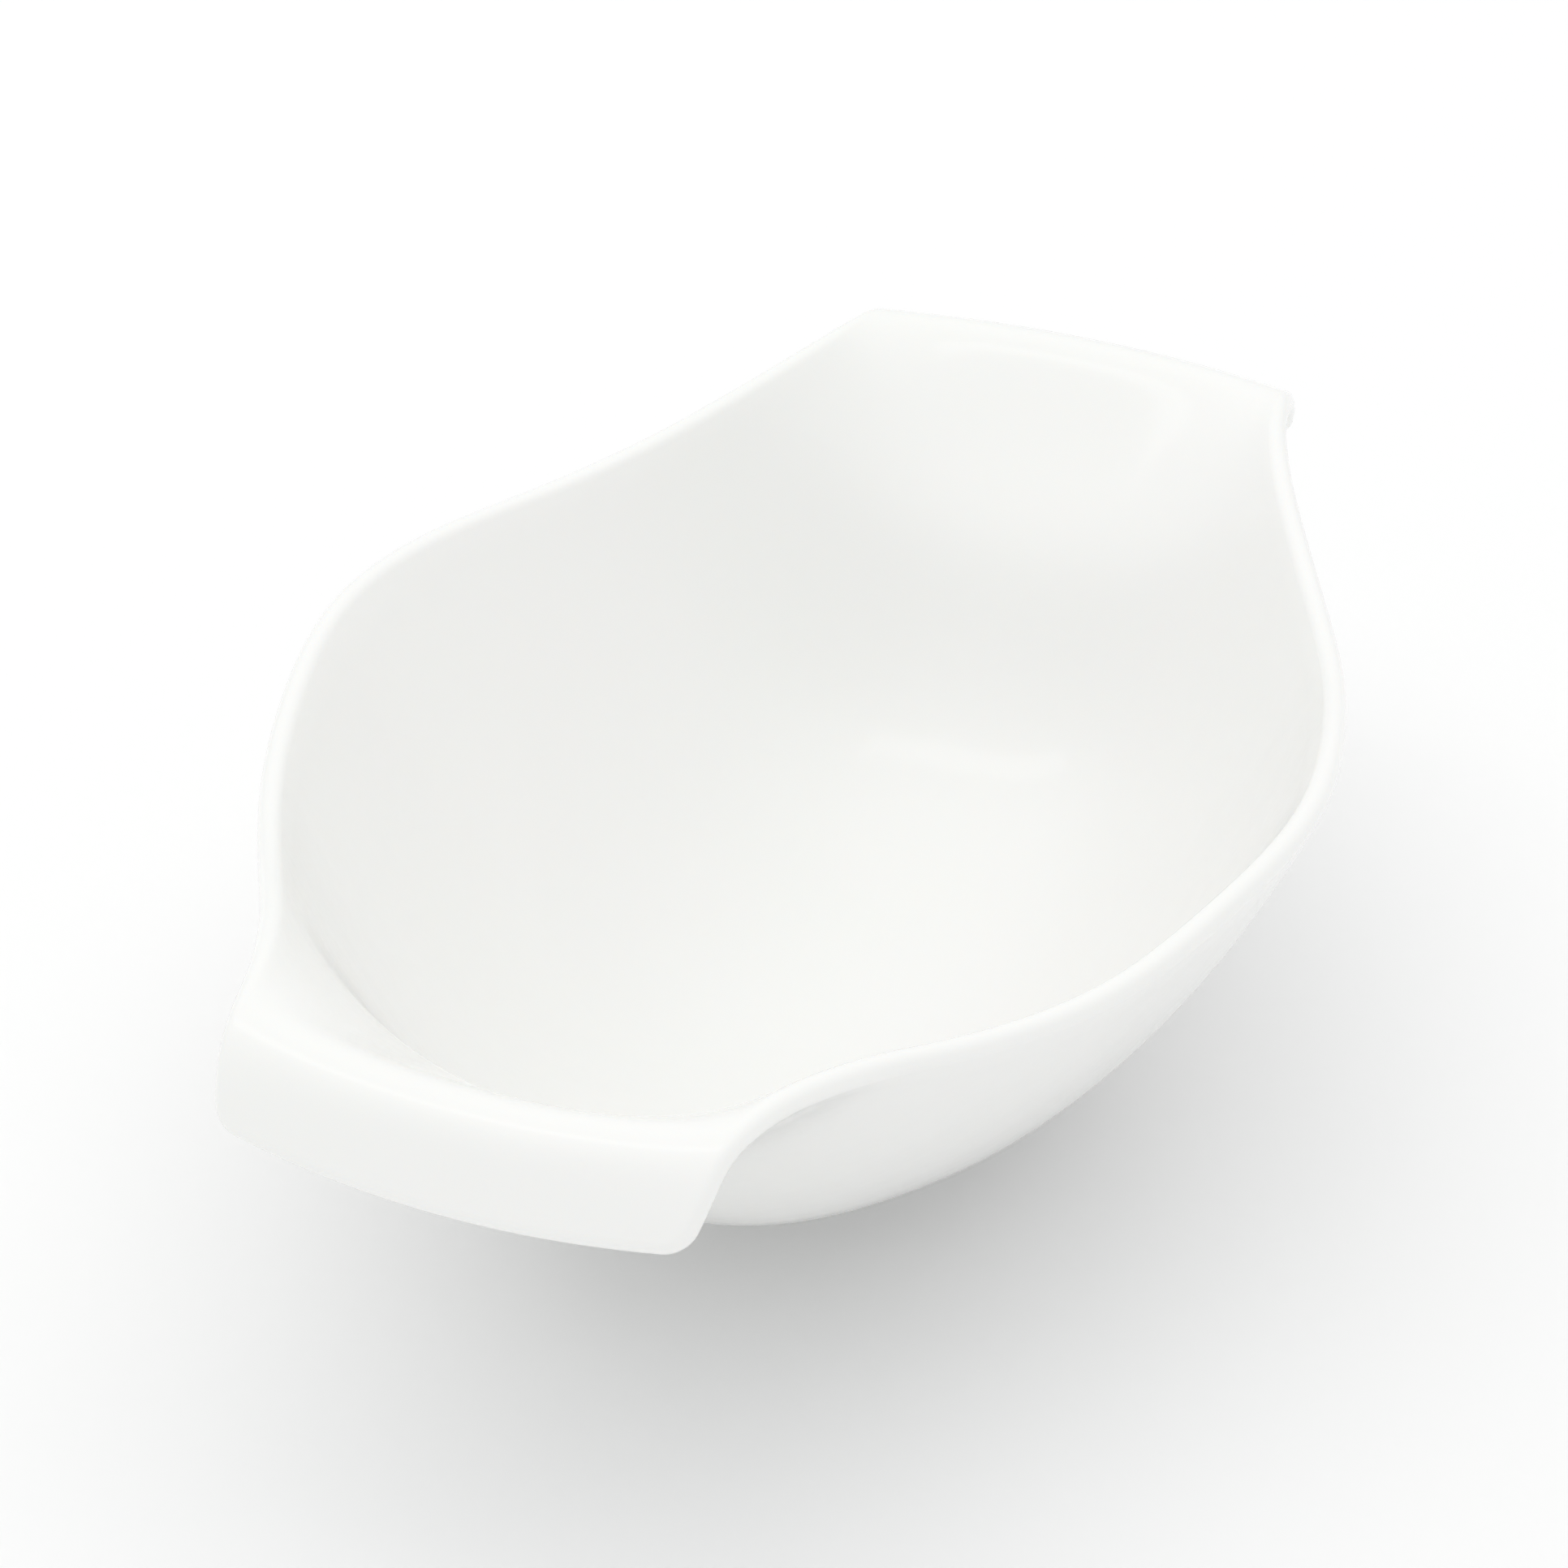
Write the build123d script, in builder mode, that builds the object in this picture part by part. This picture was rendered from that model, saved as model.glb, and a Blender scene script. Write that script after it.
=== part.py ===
"""Oval porcelain dish whose two ends rise, roll over and hang down as broad lips.

Frame: millimetres, +Z up, origin on the table under the middle of the dish.
X runs along the dish from lip to lip and Y across it. The dish is its own mirror
image about the planes x = 0 and y = 0.

The wall is described by its middle surface. A keel line runs along the bottom from
lip tip to lip tip, a rim line runs along each side, and ribs climb from the keel to
the rim. The fired body is that surface given a thickness, half to each side. The
glaze is the same shape a little thicker and longer, with the body taken out of it.
The foot is an oval ring under the floor, ground flat and bare where it stands.
"""

import os
from math import cos, radians, sin

from build123d import *

os.makedirs("parts", exist_ok=True)

# Driving dimensions, in mm
WALL = 3.0  # the finished wall, glaze and all
GLAZE = 0.3  # the fired glaze on each face of the wall
RIM_FLAT = 0.4  # the narrow flat left between the two rounded edges of the rim
CORNER_ROUND = 3.2  # the lip corners, seen square to the lip

# Stations from the middle of the dish to the tip of a lip.
# Each gives the keel (x, z) and the rim point that its rib climbs to (x, y, z), both
# in the middle of the wall and the rim point at its very edge.
STATIONS = [
    ((0.0, 3.6), (0.0, 62.8, 57.6)),  # middle of the basin
    ((21.1, 6.6), (21.1, 59.3, 56.5)),
    ((37.6, 12.5), (37.6, 53.5, 55.0)),  # lowest stretch of the rim
    ((52.3, 19.6), (52.3, 45.8, 56.1)),
    ((62.5, 29.9), (62.5, 39.9, 58.3)),  # the end wall starts to climb
    ((69.2, 39.9), (68.9, 36.5, 59.7)),
    ((77.0, 47.4), (76.1, 33.3, 60.8)),
    ((83.2, 52.7), (81.4, 31.6, 61.0)),
    ((87.7, 56.6), (84.9, 30.8, 60.6)),
    ((91.2, 58.9), (87.7, 30.2, 59.9)),  # crest of the lip
    ((94.1, 58.3), (90.2, 29.7, 58.6)),  # fold
    ((95.9, 56.0), (92.3, 29.3, 56.7)),
    ((97.5, 53.0), (94.3, 28.6, 54.1)),
    ((99.0, 50.0), (96.1, 27.7, 51.1)),  # tip
]
FULLNESS_MIDDLE = 2.8  # power of the ribs: a flat floor and steep sides in the middle
FULLNESS_TIP = 2.0  # a plain parabola across the lips
RIBS = 78  # spans between ribs, from tip to tip
RIB_STEPS = 28  # steps along a rib, from rim to rim
STRIDE_STEP = 0.001  # a small step in a surface parameter, for measuring along the surface

FOOT_LENGTH = 54.0
FOOT_WIDTH = 40.0
FOOT_LAND = 2.6  # width of the ring that stands on the table
FOOT_ROUND = 0.7  # rounding of the ring's two lower edges
FOOT_TOP = 14.0  # the ring is drawn up to here and cut off at the underside of the body
WIPED = 1.0  # the glaze is wiped off the foot up to this height


def station_line(points):
    """A line through one column of the stations, mirrored so that it runs tip to tip."""
    other_end = [Vector(-p.X, p.Y, p.Z) for p in reversed(points[1:])]
    line = other_end + points
    return Edge.make_spline(line, parameters=[i / (len(line) - 1) for i in range(len(line))])


def rib_point(keel_point, rim_point, across, fullness):
    """The point of a rib at across = -1 on one rim, 0 on the keel and 1 on the other rim."""
    climb = abs(across) ** fullness
    x = keel_point.X + (rim_point.X - keel_point.X) * across**2
    z = keel_point.Z + (rim_point.Z - keel_point.Z) * climb
    return Vector(x, rim_point.Y * across, z)


def middle_surface():
    """The middle of the wall as one smooth face, drawn through ribs from keel to rim."""
    keel = station_line([Vector(x, 0, z) for (x, z), _ in STATIONS])
    rim = station_line([Vector(*point) for _, point in STATIONS])
    ribs = []
    for i in range(RIBS + 1):
        along = i / RIBS
        from_middle = abs(2 * along - 1)
        fullness = FULLNESS_TIP + (FULLNESS_MIDDLE - FULLNESS_TIP) * (1 - from_middle**2) ** 3
        steps = [2 * j / RIB_STEPS - 1 for j in range(RIB_STEPS + 1)]
        ribs.append([rib_point(keel @ along, rim @ along, step, fullness) for step in steps])
    return Face.make_surface_from_array_of_points(ribs)


middle = middle_surface()


def stride(start, end):
    """The surface length that goes with one unit of a surface parameter, near start."""
    return (middle.position_at(*end) - middle.position_at(*start)).length / STRIDE_STEP


def skin(drop, inset):
    """A face at a distance below the middle surface, with its border drawn in by an inset."""
    rows = []
    for i in range(RIBS + 1):
        u = i / RIBS
        short_v = inset / stride((u, 0), (u, STRIDE_STEP))
        row = []
        for j in range(RIB_STEPS + 1):
            v = j / RIB_STEPS
            short_u = inset / stride((0, v), (STRIDE_STEP, v))
            place = (short_u + (1 - 2 * short_u) * u, short_v + (1 - 2 * short_v) * v)
            row.append(middle.position_at(*place) - middle.normal_at(*place) * drop)
        rows.append(row)
    return Face.make_surface_from_array_of_points(rows)


def corner_plane():
    """A plane square to the wall at one lip corner, its X pointing out through the corner."""
    corner = middle.position_at(1, 1)
    square = middle.normal_at(1, 1)
    along_tip = (middle.position_at(1, 1 - STRIDE_STEP) - corner).normalized()
    along_side = (middle.position_at(1 - STRIDE_STEP, 1) - corner).normalized()
    half_angle = along_tip.get_angle(along_side) / 2
    outward = -(along_tip + along_side).normalized()
    centre = corner - outward * CORNER_ROUND / sin(radians(half_angle))
    return Plane(origin=centre, x_dir=outward, z_dir=square), half_angle


def corner_cutters(radius):
    """Four wedges, each hollowed by an arc, that leave the lip corners with this radius."""
    plane, half_angle = corner_plane()
    reach = 2 * CORNER_ROUND
    side = Vector(reach * sin(radians(half_angle)), reach * cos(radians(half_angle)))
    point = Vector(reach / sin(radians(half_angle)), 0)
    with BuildPart() as cutters:
        with BuildSketch(plane):
            with BuildLine():
                Polyline((0, 0), (side.X, side.Y), point, (side.X, -side.Y), close=True)
            make_face()
            Circle(radius, mode=Mode.SUBTRACT)
        extrude(amount=WALL, both=True)
        mirror(about=Plane.XZ)
        mirror(about=Plane.YZ)
    return cutters.part


# ---- Fired body: the basin and both lips, one casting ----
body_wall = WALL - 2 * GLAZE
with BuildPart() as dish_body:
    thicken(skin(body_wall / 2, GLAZE), amount=body_wall)
    rim_edges = dish_body.edges().filter_by(lambda edge: edge.length > 2 * WALL)
    fillet(rim_edges, (body_wall - RIM_FLAT) / 2)
    add(corner_cutters(CORNER_ROUND - GLAZE), mode=Mode.SUBTRACT)
dish_body.part.label = "dish_body"


# ---- Foot: an oval ring under the floor, bare where it stands ----
def foot_oval(grow):
    """The ring's outline, with both of its walls moved outwards by an amount."""
    Ellipse(FOOT_LENGTH / 2 + grow, FOOT_WIDTH / 2 + grow)
    inner = FOOT_LAND + grow
    Ellipse(FOOT_LENGTH / 2 - inner, FOOT_WIDTH / 2 - inner, mode=Mode.SUBTRACT)


with BuildPart() as foot_blank:
    with BuildSketch(Plane.XY):
        foot_oval(-GLAZE)
    extrude(amount=FOOT_TOP)
    fillet(foot_blank.faces().sort_by(Axis.Z)[0].edges(), FOOT_ROUND)
    add(dish_body.part, mode=Mode.SUBTRACT)

with BuildPart() as foot_ring:
    add(foot_blank.solids().sort_by(Axis.Z)[0])
foot_ring.part.label = "foot_ring"


# ---- Glaze: a closed coat over the body and down the sides of the foot ----
with BuildPart() as foot_coat:
    with BuildSketch(Plane.XY.offset(WIPED)):
        foot_oval(0)
    extrude(amount=FOOT_TOP - WIPED)
    add(dish_body.part, mode=Mode.SUBTRACT)

with BuildPart() as glaze:
    thicken(skin(WALL / 2, 0), amount=WALL)
    rim_edges = glaze.edges().filter_by(lambda edge: edge.length > 2 * WALL)
    fillet(rim_edges, (WALL - RIM_FLAT) / 2)
    add(corner_cutters(CORNER_ROUND), mode=Mode.SUBTRACT)
    add(foot_coat.solids().sort_by(Axis.Z)[0])
    add(dish_body.part, mode=Mode.SUBTRACT)
    add(foot_ring.part, mode=Mode.SUBTRACT)
glaze.part.label = "glaze"

for piece in (dish_body, foot_ring, glaze):
    export_step(piece.part, f"parts/{piece.part.label}.step")
    box = piece.part.bounding_box()
    print(piece.part.label, len(piece.solids()), "solid", round(piece.part.volume), "mm3", box.size)
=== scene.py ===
# %% [markdown]
# # A white porcelain dish with two rolled lips
# The dish is an oval basin about 20 cm long. At each end its wall climbs, rolls over and
# hangs down as a broad lip. Everything is one fired casting under one coat of clear gloss
# glaze, and it stands on a low oval foot whose edge is ground bare.
#
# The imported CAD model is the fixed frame: it says where the dish is and how large. Here
# the same shape is made again as a fine mesh, because a mesh can carry the soft rounding
# of the rim and the glaze, and it gets its finish.

import bmesh
import bpy
import numpy as np
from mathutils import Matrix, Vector


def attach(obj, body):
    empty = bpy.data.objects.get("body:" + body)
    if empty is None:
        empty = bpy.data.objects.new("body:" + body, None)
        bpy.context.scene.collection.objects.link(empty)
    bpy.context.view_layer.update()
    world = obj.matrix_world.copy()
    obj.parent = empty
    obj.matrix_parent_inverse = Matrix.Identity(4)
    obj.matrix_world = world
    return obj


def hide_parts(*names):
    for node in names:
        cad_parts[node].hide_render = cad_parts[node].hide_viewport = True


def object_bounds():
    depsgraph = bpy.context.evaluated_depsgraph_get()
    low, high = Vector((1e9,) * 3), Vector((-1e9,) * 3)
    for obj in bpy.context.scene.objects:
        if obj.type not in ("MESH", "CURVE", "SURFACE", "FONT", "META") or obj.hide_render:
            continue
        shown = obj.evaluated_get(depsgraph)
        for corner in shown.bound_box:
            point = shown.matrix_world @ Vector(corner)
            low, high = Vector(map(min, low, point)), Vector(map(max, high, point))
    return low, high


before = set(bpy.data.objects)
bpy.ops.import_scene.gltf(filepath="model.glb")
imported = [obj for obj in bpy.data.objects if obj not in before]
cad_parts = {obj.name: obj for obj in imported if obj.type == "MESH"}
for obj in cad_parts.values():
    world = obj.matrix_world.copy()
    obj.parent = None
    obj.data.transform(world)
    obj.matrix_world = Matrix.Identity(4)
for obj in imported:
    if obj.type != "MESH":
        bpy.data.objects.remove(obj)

CAD_LOW, CAD_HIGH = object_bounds()
MM = 0.001
print("CAD box in mm:", [round(v / MM, 1) for v in (*CAD_LOW, *CAD_HIGH)])

# %% [markdown]
# ## The camera
# It looks down on the dish from about 34 degrees, a little to one side of the near lip.
# A long lens from some way off keeps the far lip nearly as large as the near one. It is
# placed by angles round the middle of the dish, so that the view can be read as one.

# %% Place the camera
VIEW_AZIMUTH = -66.6   # degrees round from -Y
VIEW_HEIGHT = 33.9     # degrees above the table
VIEW_DISTANCE = 0.6134
LENS = 115.1           # mm, on a 36 mm sensor
VIEW_CENTRE = 0.0346   # m above the table, the point that the camera goes round
AIM_LEFT = 0.0033      # m, so that the dish sits a little right in the frame
AIM_UP = 0.0087        # m, and a little low


def view_axes(azimuth, height):
    """The camera's right, up and backward directions."""
    a, h = np.radians(azimuth), np.radians(height)
    back = Vector((np.sin(a) * np.cos(h), -np.cos(a) * np.cos(h), np.sin(h)))
    right = Vector((np.cos(a), np.sin(a), 0))
    return right, back.cross(right), back


right, up, back = view_axes(VIEW_AZIMUTH, VIEW_HEIGHT)
centre = Vector((0, 0, CAD_LOW[2] + VIEW_CENTRE))
aim = centre - right * AIM_LEFT + up * AIM_UP
eye = centre + back * VIEW_DISTANCE
camera = bpy.data.objects.new("camera", bpy.data.cameras.new("camera"))
camera.location = eye
camera.rotation_euler = (aim - eye).to_track_quat("-Z", "Y").to_euler()
camera.data.lens = LENS
camera.data.sensor_width = 36
camera.data.clip_start = 0.01
bpy.context.collection.objects.link(camera)
bpy.context.scene.camera = camera
print("camera at", [round(v, 3) for v in eye])

# %% [markdown]
# ## The lines that the shape hangs on
# A potter would describe this dish by two lines. The keel runs along its bottom from lip
# tip to lip tip, and the rim runs round its side. A few stations, measured outwards from
# the middle, fix both. A cubic curve through the stations fills in the rest, which is what
# a thin steel spline bent round pegs would do.

# %% Stations of the keel and the rim, in mm
# keel x, keel z, then the rim point that this rib climbs to: x, y, z
STATIONS = np.array([
    (0.0, 3.6, 0.0, 62.8, 57.6),     # middle of the basin
    (21.1, 6.6, 21.1, 59.3, 56.5),
    (37.6, 12.5, 37.6, 53.5, 55.0),  # lowest stretch of the rim
    (52.3, 19.6, 52.3, 45.8, 56.1),
    (62.5, 29.9, 62.5, 39.9, 58.3),  # the end wall starts to climb
    (69.2, 39.9, 68.9, 36.5, 59.7),
    (77.0, 47.4, 76.1, 33.3, 60.8),
    (83.2, 52.7, 81.4, 31.6, 61.0),
    (87.7, 56.6, 84.9, 30.8, 60.6),
    (91.2, 58.9, 87.7, 30.2, 59.9),  # crest of the lip
    (94.1, 58.3, 90.2, 29.7, 58.6),  # fold
    (95.9, 56.0, 92.3, 29.3, 56.7),
    (97.5, 53.0, 94.3, 28.6, 54.1),
    (99.0, 50.0, 96.1, 27.7, 51.1),  # tip
])
LENGTHWISE = np.array([-1, 1, -1, 1, 1])   # what changes sign at the dish's other end
all_stations = np.concatenate([STATIONS[:0:-1] * LENGTHWISE, STATIONS])


def bent_spline(heights, at):
    """A natural cubic curve through evenly spaced values, read at places from 0 to 1."""
    n = len(heights) - 1
    system = np.eye(n + 1)
    load = np.zeros_like(heights)
    for i in range(1, n):
        system[i, i - 1:i + 2] = 1, 4, 1
        load[i] = 6 * (heights[i - 1] - 2 * heights[i] + heights[i + 1])
    bend = np.linalg.solve(system, load)
    x = np.clip(at * n, 0, n - 1e-9)
    i = x.astype(int)
    b = (x - i)[:, None]
    a = 1 - b
    ease = (a**3 - a) * bend[i] + (b**3 - b) * bend[i + 1]
    return a * heights[i] + b * heights[i + 1] + ease / 6


# %% [markdown]
# ## Where the ribs stand
# The mesh needs ribs close together where the wall bends hard, in the lips, and further
# apart in the basin. The last few stand closer still: they carry the rounding of the lip's
# corners, where the rib ends draw in along a quarter circle.
#
# The stations give the very edge of the dish. The sheet that is bent here is the middle of
# the wall, and its border stops half a wall short of that edge, which leaves room for the
# half-round rim.

# %% Choose the ribs
WALL = 3.0              # mm, glaze and all
CORNER_ROUND = 3.2      # mm, the lip's corners
CORNER_RIBS = 8
LIP_REACH = 45.0        # mm of surface from a tip that has close ribs
LIP_SPACING = 0.8
BASIN_SPACING = 1.5

fine = np.linspace(0, 1, 4001)
lines = bent_spline(all_stations, fine)
side = np.linalg.norm(np.diff(lines[:, 2:5], axis=0), axis=1)
side_place = np.concatenate([[0], np.cumsum(side)])
side_length = side_place[-1]
sheet_start = WALL / 2
sheet_round = CORNER_ROUND - sheet_start
turn = np.linspace(0, np.pi / 2, CORNER_RIBS + 1)
corner = sheet_start + sheet_round * (1 - np.cos(turn))
lip = np.arange(CORNER_ROUND + LIP_SPACING, LIP_REACH, LIP_SPACING)
basin = np.linspace(LIP_REACH, side_length / 2, int((side_length / 2 - LIP_REACH) / BASIN_SPACING))
half = np.concatenate([corner, lip, basin])
rib_place = np.concatenate([half, (side_length - half[::-1])[1:]])
rib_along = np.interp(rib_place, side_place, fine)
ribs = bent_spline(all_stations, rib_along)
from_tip = (np.minimum(rib_place, side_length - rib_place) - sheet_start).clip(0, sheet_round)
draw_in = sheet_round - np.sqrt(sheet_round**2 - (sheet_round - from_tip)**2)
print(len(ribs), "ribs over", round(side_length), "mm of side")

# %% [markdown]
# The ribs go to Blender as a bare line of points that carries four attributes: the keel
# point and rim point of each rib, how full its curve is, and how much of it is kept, after
# the room for the rim and the rounded corner. In the middle the ribs follow a power of 2.8,
# which gives a flat floor and steep sides, and towards the lips they ease into a plain
# parabola.

# %% A line of points that carries the ribs
FULLNESS_MIDDLE = 2.8
FULLNESS_TIP = 2.0


def carrier(name, columns):
    """A line of points with a named attribute for each column."""
    count = len(next(iter(columns.values())))
    mesh = bpy.data.meshes.new(name)
    mesh.from_pydata([(i * MM, 0, 0) for i in range(count)], [], [])
    for key, values in columns.items():
        kind = "FLOAT_VECTOR" if values.ndim == 2 else "FLOAT"
        layer = mesh.attributes.new(key, kind, "POINT")
        layer.data.foreach_set("vector" if values.ndim == 2 else "value", values.ravel())
    thing = bpy.data.objects.new(name, mesh)
    bpy.context.collection.objects.link(thing)
    return thing


from_middle = abs(2 * rib_along - 1)
fullness = FULLNESS_TIP + (FULLNESS_MIDDLE - FULLNESS_TIP) * (1 - from_middle**2)**3
keel_x, keel_z, rim_x, rim_y, rim_z = ribs.T
reach = np.sqrt((2 * (rim_x - keel_x))**2 + rim_y**2 + (fullness * (rim_z - keel_z))**2)
dish_shell = carrier("dish_shell", {
    "keel": np.stack([keel_x, 0 * keel_x, keel_z], axis=1) * MM,
    "rim": ribs[:, 2:5] * MM,
    "fullness": fullness,
    "kept": 1 - sheet_start / reach - draw_in / rim_y,
})

# %% [markdown]
# ## Writing formulas as nodes
# A node tree can hold a formula, but a page of wires is hard to read. This small class
# wraps a socket so that ordinary arithmetic makes the nodes: `a + b * c` adds a multiply
# node and an add node. Numbers become the socket's own values.

# %% A socket that does arithmetic


def add_node(tree, kind, feeds=(), **settings):
    """Adds a node, sets its options, and feeds its inputs with sockets or values."""
    node = tree.nodes.new(kind)
    for key, value in settings.items():
        setattr(node, key, value)
    for key, value in dict(feeds).items():
        value = getattr(value, "socket", value)
        if isinstance(value, bpy.types.NodeSocket):
            tree.links.new(value, node.inputs[key])
        else:
            node.inputs[key].default_value = value
    return node


class Number:
    """A number in a node tree."""

    def __init__(self, tree, socket):
        self.tree, self.socket = tree, socket

    def math(self, operation, *others):
        feeds = dict(enumerate((self, *others)))
        node = add_node(self.tree, "ShaderNodeMath", feeds, operation=operation)
        return Number(self.tree, node.outputs[0])

    def __add__(self, other):
        return self.math("ADD", other)

    def __sub__(self, other):
        return self.math("SUBTRACT", other)

    def __mul__(self, other):
        return self.math("MULTIPLY", other)

    def __truediv__(self, other):
        return self.math("DIVIDE", other)

    def __pow__(self, other):
        return self.math("POWER", other)

    def clipped(self, top):
        return self.math("MINIMUM", top).math("MAXIMUM", 0.0)


class Arrow(Number):
    """A place or a direction in a node tree."""

    def vector_math(self, operation, *others):
        feeds = dict(enumerate((self, *others)))
        node = add_node(self.tree, "ShaderNodeVectorMath", feeds, operation=operation)
        return Arrow(self.tree, node.outputs[0])

    def __add__(self, other):
        return self.vector_math("ADD", other)

    def __sub__(self, other):
        return self.vector_math("SUBTRACT", other)

    def __mul__(self, number):
        feeds = {"Vector": self, "Scale": number}
        node = add_node(self.tree, "ShaderNodeVectorMath", feeds, operation="SCALE")
        return Arrow(self.tree, node.outputs[0])

    def cross(self, other):
        return self.vector_math("CROSS_PRODUCT", other)

    def unit(self):
        return self.vector_math("NORMALIZE")

    def parts(self):
        node = add_node(self.tree, "ShaderNodeSeparateXYZ", {0: self})
        return [Number(self.tree, socket) for socket in node.outputs]


def arrow(tree, x, y, z):
    """A vector made from three numbers."""
    node = add_node(tree, "ShaderNodeCombineXYZ", {0: x, 1: y, 2: z})
    return Arrow(tree, node.outputs[0])


# %% [markdown]
# Trees here all start and end alike: named inputs, then Merge by Distance to close the
# seams, smooth shading, Realize Instances and Set Material. A second helper runs a tree
# on its object and keeps the result as a plain mesh.

# %% Start, end and run a tree


def new_tree(name, inputs):
    """A tree with a geometry input and output and the named inputs, as (name, kind)."""
    tree = bpy.data.node_groups.new(name, "GeometryNodeTree")
    face = tree.interface
    face.new_socket("Geometry", in_out="INPUT", socket_type="NodeSocketGeometry")
    for label, kind in inputs:
        face.new_socket(label, in_out="INPUT", socket_type="NodeSocket" + kind)
    face.new_socket("Geometry", in_out="OUTPUT", socket_type="NodeSocketGeometry")
    start = tree.nodes.new("NodeGroupInput")
    return tree, {socket.name: Number(tree, socket) for socket in start.outputs if socket.name}


def end_tree(tree, geometry, material, seam=0.002 * MM):
    """Closes the seams, shades smooth, realizes instances and sets the material."""
    for kind, feeds in (
        ("GeometryNodeMergeByDistance", {"Distance": seam}),
        ("GeometryNodeSetShadeSmooth", {"Shade Smooth": True}),
        ("GeometryNodeRealizeInstances", {}),
        ("GeometryNodeSetMaterial", {"Material": material}),
    ):
        geometry = add_node(tree, kind, {0: geometry, **feeds}).outputs[0]
    end = tree.nodes.new("NodeGroupOutput")
    tree.links.new(geometry, end.inputs[0])


def run_tree(thing, tree, values):
    """Runs the tree on an object and keeps the result as that object's plain mesh."""
    modifier = thing.modifiers.new(tree.name, "NODES")
    modifier.node_group = tree
    for item in tree.interface.items_tree:
        if item.in_out == "INPUT" and item.name in values:
            modifier[item.identifier] = values[item.name]
    seen = thing.evaluated_get(bpy.context.evaluated_depsgraph_get())
    mesh = bpy.data.meshes.new_from_object(seen)
    thing.modifiers.clear()
    thing.data = mesh
    mesh.name = thing.name
    return mesh


def face_outwards(mesh):
    """Points all faces of a closed mesh outwards and prints its face count, open edges and volume
    in cubic cm.
    """
    work = bmesh.new()
    work.from_mesh(mesh)
    bmesh.ops.recalc_face_normals(work, faces=work.faces)
    open_edges = sum(not edge.is_manifold for edge in work.edges)
    volume = work.calc_volume(signed=True)
    work.to_mesh(mesh)
    work.free()
    print(mesh.name, len(mesh.polygons), "faces,", open_edges, "open edges,",
          round(volume * 1e6, 2), "cm3")


# %% [markdown]
# ## The shell: basin, lips and rim
# The whole wall is one sheet bent to a rule, so Geometry Nodes make it. A grid of points
# is laid out, one row for each rib. Each point reads its rib's keel and rim points and
# climbs between them by the power rule. That sheet is the middle of the wall. Pushed half
# the wall inwards it is the inside of the dish, and pushed outwards it is the outside. A
# strip with a half-round section runs right round the border and joins the two, which
# gives the full, soft rim that glaze leaves.

# %% The tree for the shell


def grid_of(tree, rows, columns):
    """A grid with its row and column numbers. Points are counted along each row."""
    feeds = {"Vertices X": rows, "Vertices Y": columns}
    mesh = add_node(tree, "GeometryNodeMeshGrid", feeds).outputs["Mesh"]
    index = Number(tree, add_node(tree, "GeometryNodeInputIndex").outputs[0])
    row = (index / columns + 0.001).math("FLOOR")
    return mesh, row, index - row * columns


def placed(tree, mesh, place):
    """The mesh with its points moved to a place."""
    node = add_node(tree, "GeometryNodeSetPosition", {"Geometry": mesh, "Position": place})
    return node.outputs[0]


def sampled(tree, mesh, value, index, kind):
    """A value of another mesh, read at a point number."""
    feeds = {"Geometry": mesh, "Value": value, "Index": index}
    node = add_node(tree, "GeometryNodeSampleIndex", feeds, data_type=kind)
    wrap = Arrow if kind == "FLOAT_VECTOR" else Number
    return wrap(tree, node.outputs[0])


def attribute(tree, name, kind):
    """A named attribute of the mesh that is being read."""
    return add_node(tree, "GeometryNodeInputNamedAttribute", {"Name": name}, data_type=kind)


def middle_sheet(tree, given):
    """The middle of the wall: a grid bent to the ribs."""
    mesh, rib, step = grid_of(tree, given["Ribs"], given["Steps"] + 1)
    read = {}
    for name, kind in (("keel", "FLOAT_VECTOR"), ("rim", "FLOAT_VECTOR"),
                       ("fullness", "FLOAT"), ("kept", "FLOAT")):
        value = attribute(tree, name, kind).outputs[0]
        read[name] = sampled(tree, given["Geometry"], value, rib, kind)
    across = (step * 2 / given["Steps"] - 1) * read["kept"]
    climb = across.math("ABSOLUTE") ** read["fullness"]
    keel_x, _, keel_z = read["keel"].parts()
    rim_x, rim_y, rim_z = read["rim"].parts()
    x = keel_x + (rim_x - keel_x) * (across * across)
    z = keel_z + (rim_z - keel_z) * climb
    return placed(tree, mesh, arrow(tree, x, rim_y * across, z))


def border_point(given, stride):
    """The point number in the sheet at a stride round its border: up, over, down, back."""
    long, short = given["Ribs"] - 1, given["Steps"]
    row = stride.clipped(long) - (stride - long - short).clipped(long)
    column = (stride - long).clipped(short) - (stride - long * 2 - short).clipped(short)
    return row * (short + 1) + column


def rim_strip(tree, given, sheet, place, normal):
    """A strip with a half-round section that follows the border of the sheet."""
    around = (given["Ribs"] - 1 + given["Steps"]) * 2
    mesh, stride, step = grid_of(tree, around + 1, given["Rim steps"] + 1)

    def read(value, shift):
        at = ((stride + shift + around) / around).math("FRACT") * around
        number = border_point(given, (at + 0.01).math("FLOOR"))
        return sampled(tree, sheet, value, number, "FLOAT_VECTOR")

    square = read(normal, 0).unit()
    outward = square.cross(read(place, 1) - read(place, -1)).unit()
    turn = step * np.pi / given["Rim steps"]
    swing = square * turn.math("COSINE") - outward * turn.math("SINE")
    return placed(tree, mesh, read(place, 0) + swing * (given["Wall"] / 2))


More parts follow.
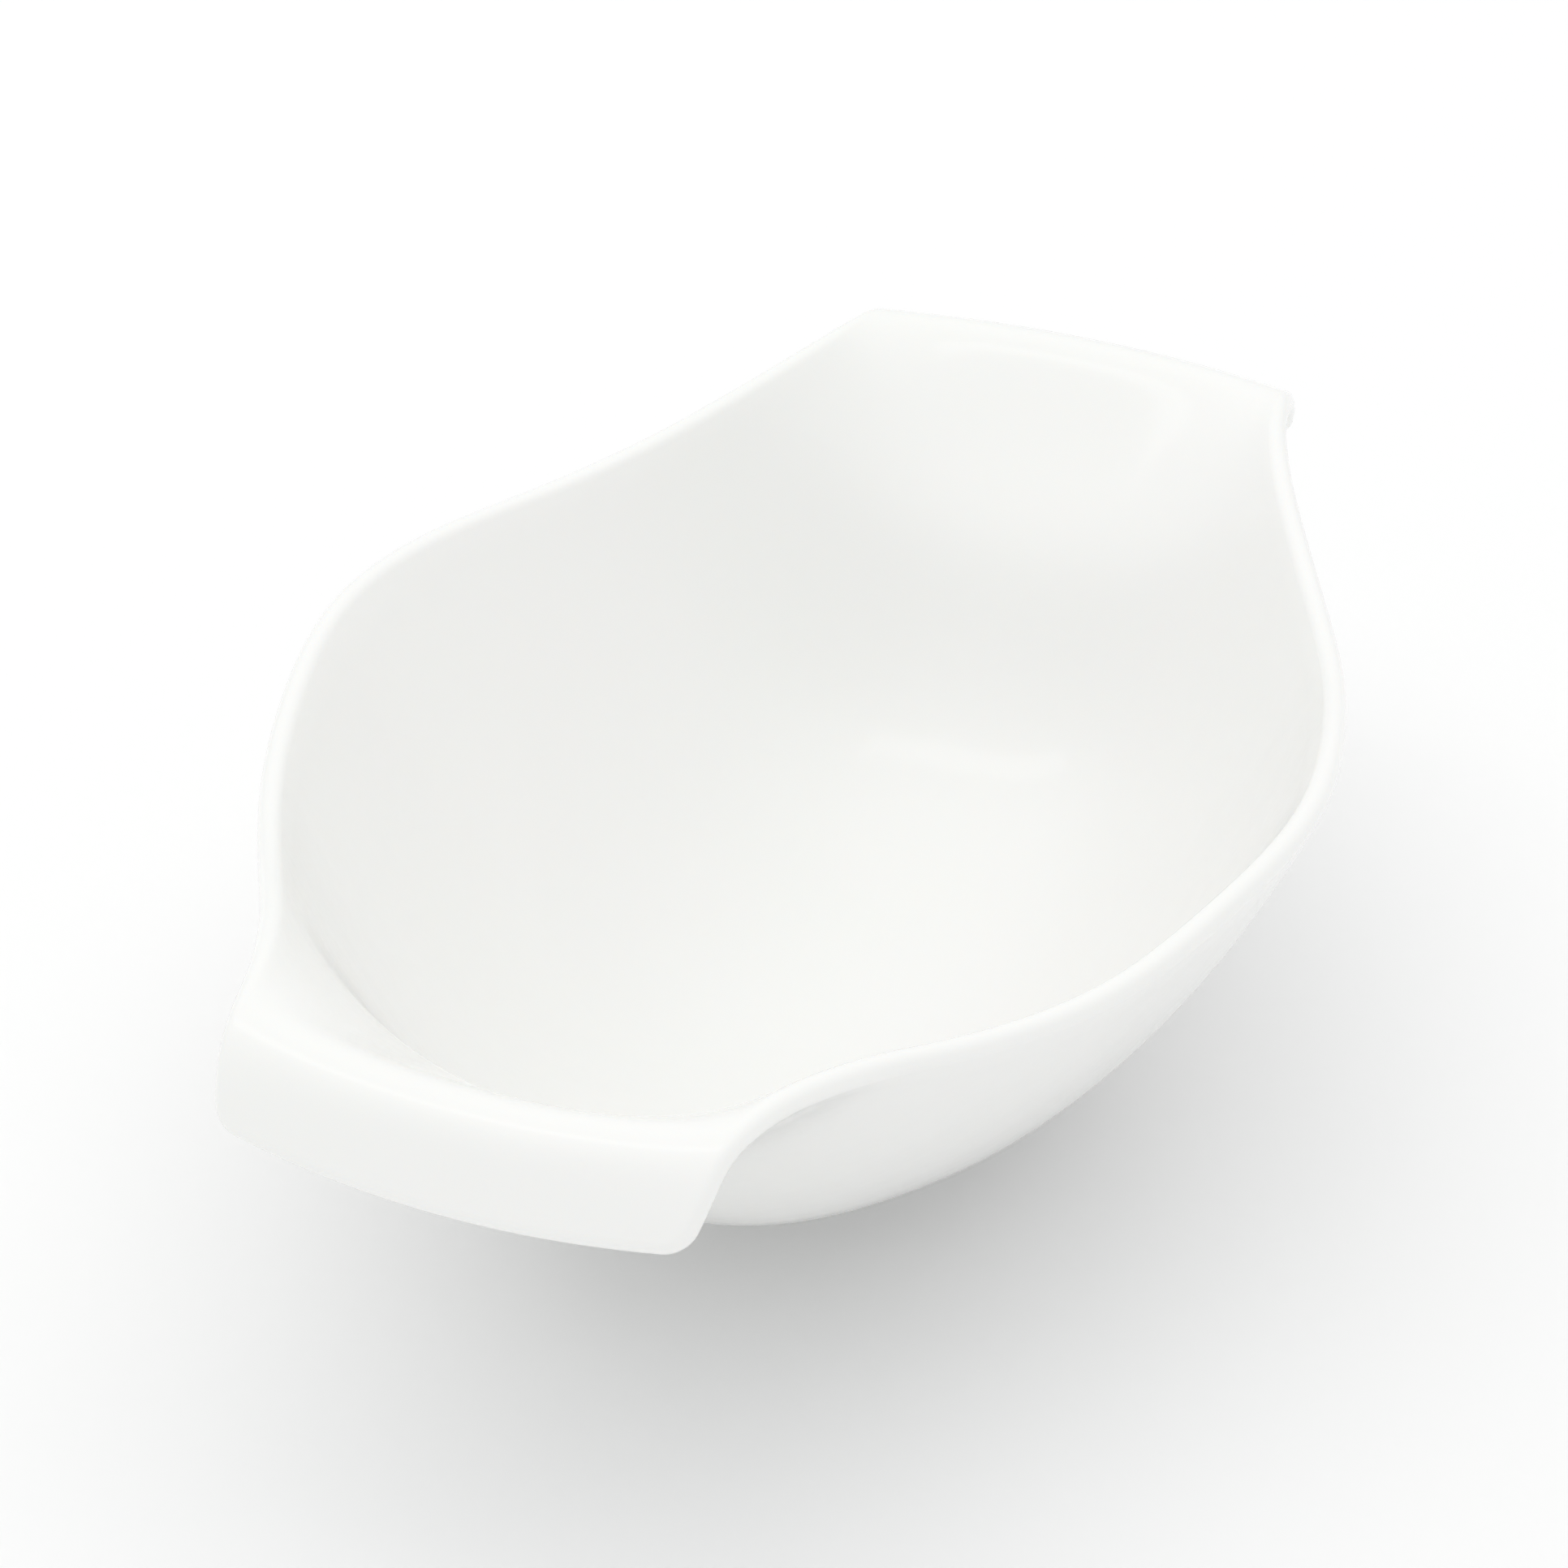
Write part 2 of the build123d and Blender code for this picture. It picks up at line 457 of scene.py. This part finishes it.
def shell_tree(material):
    tree, given = new_tree("bend a wall to its ribs", [
        ("Ribs", "Int"), ("Steps", "Int"), ("Wall", "Float"), ("Rim steps", "Int")])
    sheet = middle_sheet(tree, given)
    place = Arrow(tree, add_node(tree, "GeometryNodeInputPosition").outputs[0])
    normal = Arrow(tree, add_node(tree, "GeometryNodeInputNormal").outputs[0])
    push = normal * (given["Wall"] / 2)
    inside = placed(tree, sheet, place + push)
    outside = placed(tree, sheet, place - push)
    outside = add_node(tree, "GeometryNodeFlipFaces", {0: outside}).outputs[0]
    joined = add_node(tree, "GeometryNodeJoinGeometry")
    for part in (inside, outside, rim_strip(tree, given, sheet, place, normal)):
        tree.links.new(part, joined.inputs[0])
    end_tree(tree, joined.outputs[0], material)
    return tree


# %% Make the shell
STEPS = 72              # faces along a rib
RIM_STEPS = 12          # faces round the half-round rim

glaze = bpy.data.materials.new("gloss_glaze")
face_outwards(run_tree(dish_shell, shell_tree(glaze), {
    "Ribs": len(ribs), "Steps": STEPS, "Wall": WALL * MM, "Rim steps": RIM_STEPS}))
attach(dish_shell, "root")
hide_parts("dish_body", "glaze")

# %% [markdown]
# ## The foot
# Under the floor an oval ring keeps the dish off the table. The thrower or the mould makes
# it with the body, the glaze runs down both of its sides into a soft cove at the top, and
# it is wiped off near the table, because glaze there would stick the dish to the kiln
# shelf. The bare edge is then ground flat.
#
# Both parts are one section swept round an oval, so one tree makes both. The heights in a
# section are measured either from the table or from the underside of the basin. A ray sent
# straight up finds that underside, so the coves follow it all the way round.

# %% The sections of the foot, in mm
FOOT_LENGTH = 54.0
FOOT_WIDTH = 40.0
FOOT_LAND = 2.6         # width over the glaze
GLAZE = 0.3
WIPED = 1.0             # height where the glaze ends
COVE = 1.8              # radius of the cove under the floor
LAND_ROUND = 0.5
ROOT = 1.0              # how far a section is carried up inside the wall


def arc(middle_across, middle_height, radius, start, stop, hangs, count=7):
    """Points on an arc, as rows of across, height and hangs."""
    turn = np.radians(np.linspace(start, stop, count))
    across = middle_across + radius * np.cos(turn)
    return np.stack([across, middle_height + radius * np.sin(turn), hangs + 0 * turn], axis=1)


def mirrored(half, width):
    """A section from one half of it, mirrored about the middle of the ring's width."""
    other = half[::-1] * [-1, 1, 1] - [width, 0, 0]
    return np.concatenate([half, other])


wall_half = np.concatenate([
    [(COVE, ROOT, 1)],
    arc(COVE, -COVE, COVE, 90, 180, 1, 9),
    arc(-GLAZE, WIPED + GLAZE, GLAZE, 0, -90, 0, 6),
])
land_half = np.concatenate([
    [(-GLAZE, 2 * WIPED, 0)],    # ends inside the glazed wall, so that no gap shows
    arc(-GLAZE - LAND_ROUND, LAND_ROUND, LAND_ROUND, 0, -90, 0, 6),
])
sections = {
    "foot_wall": mirrored(wall_half, FOOT_LAND),
    "foot_land": mirrored(land_half, FOOT_LAND),
}
for name, section in sections.items():
    print(name, "section has", len(section), "points")

# %% The tree for the foot


def foot_tree(material):
    tree, given = new_tree("sweep a section round an oval", [
        ("Length", "Float"), ("Width", "Float"), ("Turns", "Int"), ("Points", "Int"),
        ("Shell", "Object")])
    mesh, turn, point = grid_of(tree, given["Turns"] + 1, given["Points"] + 1)
    angle = turn * 2 * np.pi / given["Turns"]
    number = ((point + 0.5) / given["Points"]).math("FRACT") * given["Points"]
    number = number.math("FLOOR")
    read = {}
    for name in ("across", "height", "hangs"):
        value = attribute(tree, name, "FLOAT").outputs[0]
        read[name] = sampled(tree, given["Geometry"], value, number, "FLOAT")
    cosine, sine = angle.math("COSINE"), angle.math("SINE")
    long, wide = given["Length"] / 2, given["Width"] / 2
    outward = arrow(tree, wide * cosine, long * sine, 0.0).unit()
    plan = arrow(tree, long * cosine, wide * sine, 0.0) + outward * read["across"]
    shell = add_node(tree, "GeometryNodeObjectInfo", {"Object": given["Shell"]})
    ray = {"Target Geometry": shell.outputs["Geometry"], "Source Position": plan,
           "Ray Direction": (0, 0, 1), "Ray Length": 0.1}
    hit = add_node(tree, "GeometryNodeRaycast", ray).outputs["Hit Position"]
    under = Arrow(tree, hit).parts()[2]
    height = read["height"] + under * read["hangs"]
    swept = placed(tree, mesh, plan + arrow(tree, 0.0, 0.0, height))
    end_tree(tree, swept, material)
    return tree


# %% Make the foot
FOOT_TURNS = 144

bare = bpy.data.materials.new("ground_porcelain")
for name, finish, slot in (
    ("foot_wall", glaze, "white_glaze"),
    ("foot_land", bare, "bare_porcelain"),
):
    section = sections[name]
    piece = carrier(name, {
        "across": section[:, 0] * MM, "height": section[:, 1] * MM, "hangs": section[:, 2]})
    face_outwards(run_tree(piece, foot_tree(finish), {
        "Length": FOOT_LENGTH * MM, "Width": FOOT_WIDTH * MM, "Turns": FOOT_TURNS,
        "Points": len(section), "Shell": dish_shell}))
    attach(piece, "root")
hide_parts("foot_ring")

# %% [markdown]
# ## The gloss glaze
# The body is white and the glaze over it is clear and glossy, so a light sits on it twice:
# softly in the white below and sharply on the smooth skin above. A Principled shader says
# this with a rather rough base, a little light carried inside it, and a coat on top. Real
# glaze isn't dead flat. It carries a slow swell from the brush or the dip and a finer
# ripple, and its white is a shade warmer here and greener there where it lies thicker.

# %% Material helpers


def shader_of(material):
    """The material's tree and its Principled node."""
    material.use_nodes = True
    tree = material.node_tree
    return tree, tree.nodes["Principled BSDF"]


def object_noise(tree, scale, detail=2.0, roughness=0.5, stretch=(1, 1, 1)):
    """Noise on Object coordinates, with its scale in features per metre."""
    place = add_node(tree, "ShaderNodeTexCoord").outputs["Object"]
    stretched = add_node(tree, "ShaderNodeMapping", {"Vector": place, "Scale": stretch})
    feeds = {"Vector": stretched.outputs[0], "Scale": scale, "Detail": detail,
             "Roughness": roughness}
    return add_node(tree, "ShaderNodeTexNoise", feeds).outputs["Fac"]


def shades(tree, value, stops):
    """A colour ramp over a value, from (position, grey or colour) stops."""
    node = add_node(tree, "ShaderNodeValToRGB", {"Fac": value})
    ramp = node.color_ramp
    while len(ramp.elements) < len(stops):
        ramp.elements.new(0.5)
    for element, (position, colour) in zip(ramp.elements, stops):
        element.position = position
        element.color = (*colour, 1)
    return node.outputs["Color"]


# %% Mix the glaze
tree, shader = shader_of(glaze)
cloud = object_noise(tree, 14.0, detail=3.0)
white = shades(tree, cloud, [
    (0.30, (0.912, 0.918, 0.896)), (0.55, (0.924, 0.924, 0.908)), (0.75, (0.928, 0.923, 0.908))])
tree.links.new(white, shader.inputs["Base Color"])
swell = object_noise(tree, 55.0, detail=1.0)
ripple = object_noise(tree, 420.0, detail=2.0)
soft = add_node(tree, "ShaderNodeBump", {"Height": swell, "Strength": 0.25, "Distance": 0.0006})
skin = add_node(tree, "ShaderNodeBump", {
    "Height": ripple, "Strength": 0.10, "Distance": 0.00012, "Normal": soft.outputs[0]})
tree.links.new(skin.outputs[0], shader.inputs["Coat Normal"])
tree.links.new(soft.outputs[0], shader.inputs["Normal"])
for name, value in {
    "Roughness": 0.42, "IOR": 1.5, "Subsurface Weight": 0.12, "Subsurface Scale": 0.002,
    "Coat Weight": 1.0, "Coat Roughness": 0.12, "Coat IOR": 1.5,
}.items():
    shader.inputs[name].default_value = value
shader.inputs["Subsurface Radius"].default_value = (1.0, 0.85, 0.7)

# %% Mix the ground edge of the foot
tree, shader = shader_of(bare)
patch = object_noise(tree, 60.0, detail=4.0)
grain = object_noise(tree, 2600.0, detail=3.0, roughness=0.7)
stone = shades(tree, patch, [
    (0.35, (0.70, 0.68, 0.64)), (0.55, (0.79, 0.77, 0.73)), (0.70, (0.83, 0.81, 0.77))])
tree.links.new(stone, shader.inputs["Base Color"])
rough = add_node(tree, "ShaderNodeBump", {"Height": grain, "Strength": 0.6, "Distance": 0.00008})
tree.links.new(rough.outputs[0], shader.inputs["Normal"])
shader.inputs["Roughness"].default_value = 0.85

# %% [markdown]
# ## Light and floor
# A white dish on white is lit softly from all sides, as in a tent of white paper. One very
# large soft box hangs overhead and a little behind, so the inside of the dish and the folds
# of the lips are the brightest, and the outside of the wall, which faces down, falls off
# into grey. That box is kept out of reflections, where its edges would show as a bright
# square in the basin. A weak, narrow strip above the near lip draws the thin line of light
# along the fold instead. The pale floor throws light back up.

# %% Light and floor
FLOOR_REACH = 4.0       # m to each side
WHITE_PAPER = (0.93, 0.93, 0.93, 1)
TENT_LIGHT = (0.985, 0.993, 1.0, 1)
TENT_STRENGTH = 0.84
WARM = (1.0, 0.985, 0.95)


def soft_box(name, place, target, width, depth, watts, colour=(1, 1, 1)):
    """A rectangular area light that faces a point."""
    lamp = bpy.data.lights.new(name, "AREA")
    lamp.shape = "RECTANGLE"
    lamp.size, lamp.size_y = width, depth
    lamp.energy, lamp.color = watts, colour
    thing = bpy.data.objects.new(name, lamp)
    thing.location = place
    thing.rotation_euler = (Vector(target) - Vector(place)).to_track_quat("-Z", "Y").to_euler()
    bpy.context.collection.objects.link(thing)
    return thing


floor_mesh = bpy.data.meshes.new("floor")
corners = [(x * FLOOR_REACH, y * FLOOR_REACH, 0) for x, y in ((-1, -1), (1, -1), (1, 1), (-1, 1))]
floor_mesh.from_pydata(corners, [], [(0, 1, 2, 3)])
floor = bpy.data.objects.new("floor", floor_mesh)
bpy.context.collection.objects.link(floor)
paper = bpy.data.materials.new("pale_paper")
tree, shader = shader_of(paper)
shader.inputs["Base Color"].default_value = WHITE_PAPER
shader.inputs["Roughness"].default_value = 0.9
shader.inputs["Specular IOR Level"].default_value = 0.1
floor_mesh.materials.append(paper)

overhead = soft_box("overhead", (0.3, 0.25, 1.7), (0, 0, 0), 2.6, 2.6, 12, WARM)
overhead.visible_glossy = False
strip = soft_box("strip", (-0.09, 0.5, 1.41), (-0.09, 0, 0.06), 0.25, 1.2, 0.55)
for lamp in (overhead, strip):
    print(lamp.name, round(lamp.data.size, 2), "by", round(lamp.data.size_y, 2), "m")

world = bpy.data.worlds.new("studio")
bpy.context.scene.world = world
world.use_nodes = True
air = world.node_tree.nodes["Background"]
air.inputs["Color"].default_value = TENT_LIGHT
air.inputs["Strength"].default_value = TENT_STRENGTH
bpy.context.scene.view_settings.view_transform = "Standard"
